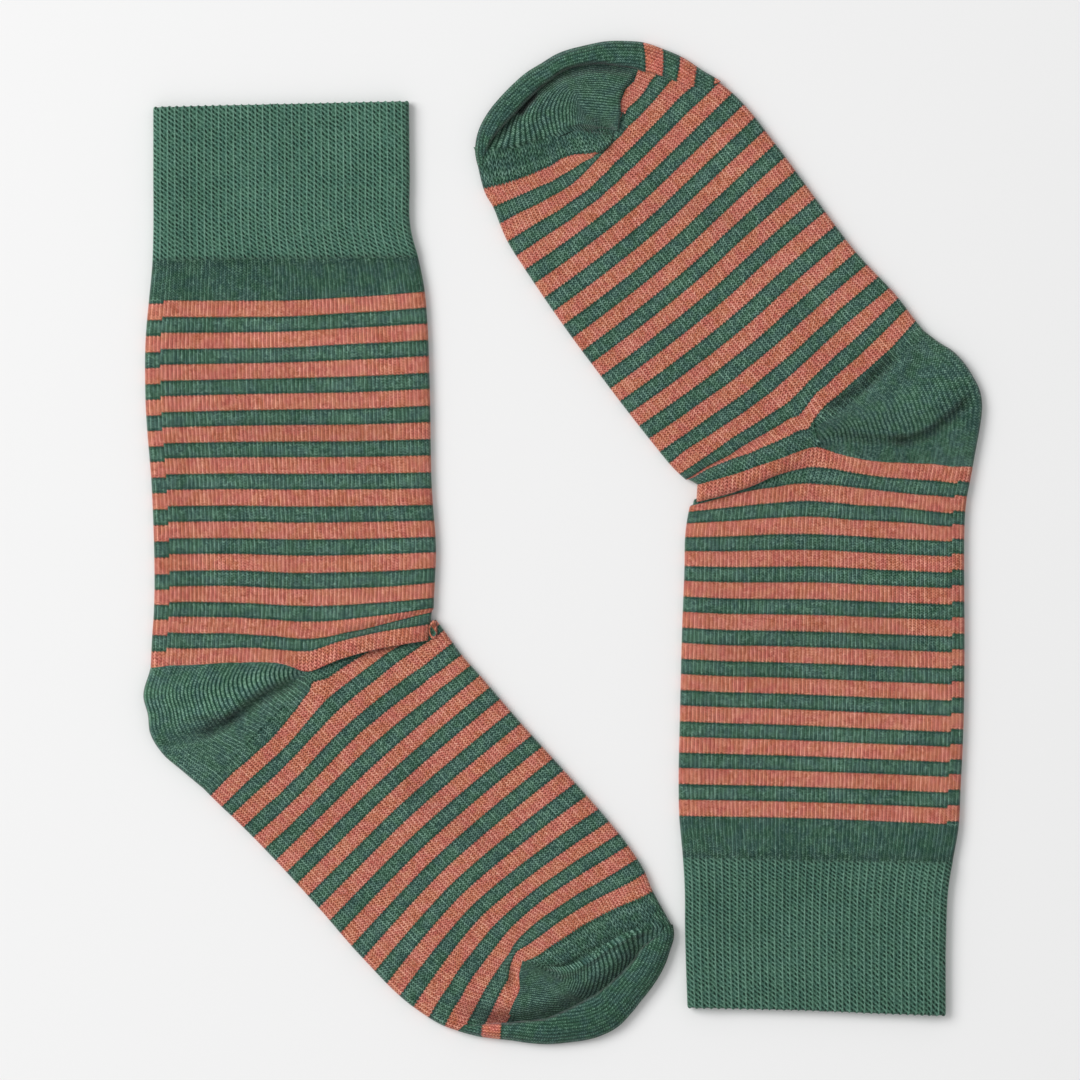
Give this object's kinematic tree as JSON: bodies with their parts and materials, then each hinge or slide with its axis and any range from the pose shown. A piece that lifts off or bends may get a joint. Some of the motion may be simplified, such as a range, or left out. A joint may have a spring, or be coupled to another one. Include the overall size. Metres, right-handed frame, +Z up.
{
  "type": "pair of socks",
  "caption": "Pair of ribbed-cuff crew socks with coral stripes on green, laid flat beside each other, heel to toe.",
  "frame": {"origin": "centre of the pair's bounding box, on the surface the socks lie on", "axes": "+Z up out of the surface, +Y along the legs towards the left sock's cuff, +X from the left sock to the right one"},
  "size_m": [0.2848, 0.3418, 0.007],
  "materials": {
    "ribbed_cuff": "matt mesh rib, knitted double",
    "striped_leg": "matt plain knit with stripes",
    "heel_pocket": "matt plain knit",
    "striped_foot": "matt plain knit with stripes",
    "toe_pocket": "matt plain knit"
  },
  "bodies": {
    "root": {"left_cuff": "ribbed_cuff", "left_leg": "striped_leg", "left_heel": "heel_pocket", "left_foot": "striped_foot", "left_toe": "toe_pocket", "right_cuff": "ribbed_cuff", "right_leg": "striped_leg", "right_heel": "heel_pocket", "right_foot": "striped_foot", "right_toe": "toe_pocket"}
  },
  "joints": []
}
